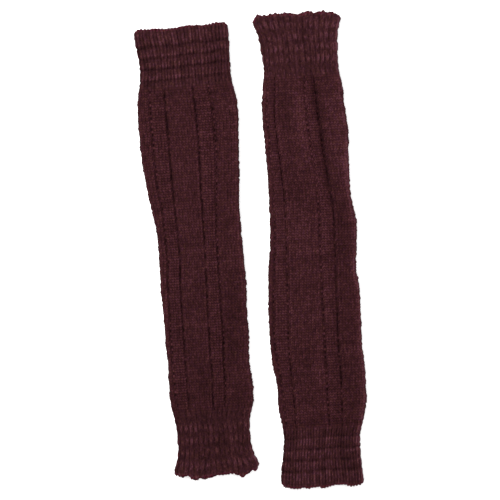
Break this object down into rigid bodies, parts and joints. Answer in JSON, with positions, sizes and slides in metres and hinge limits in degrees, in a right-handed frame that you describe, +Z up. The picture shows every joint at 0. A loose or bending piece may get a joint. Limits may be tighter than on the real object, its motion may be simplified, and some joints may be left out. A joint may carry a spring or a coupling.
{
  "type": "pair of leg warmers",
  "caption": "Pair of long ribbed knit leg warmers laid flat side by side, with panelled legs and elastic rib cuffs at knee and ankle.",
  "frame": {"origin": "on the surface that the pair lies on, under the middle of the pair", "axes": "+X to the picture's right, across the leg warmers; +Y up the picture, along them; +Z up from the surface"},
  "size_m": [0.2632, 0.5392, 0.0073],
  "materials": {
    "leg_knit": "soft matt acrylic and wool yarn, plain knit",
    "cuff_rib": "soft matt acrylic and wool yarn, rib knit with elastic rows"
  },
  "bodies": {
    "root": {"left_knee_cuff": "cuff_rib", "left_leg": "leg_knit", "left_ankle_cuff": "cuff_rib", "right_knee_cuff": "cuff_rib", "right_leg": "leg_knit", "right_ankle_cuff": "cuff_rib"}
  },
  "joints": []
}
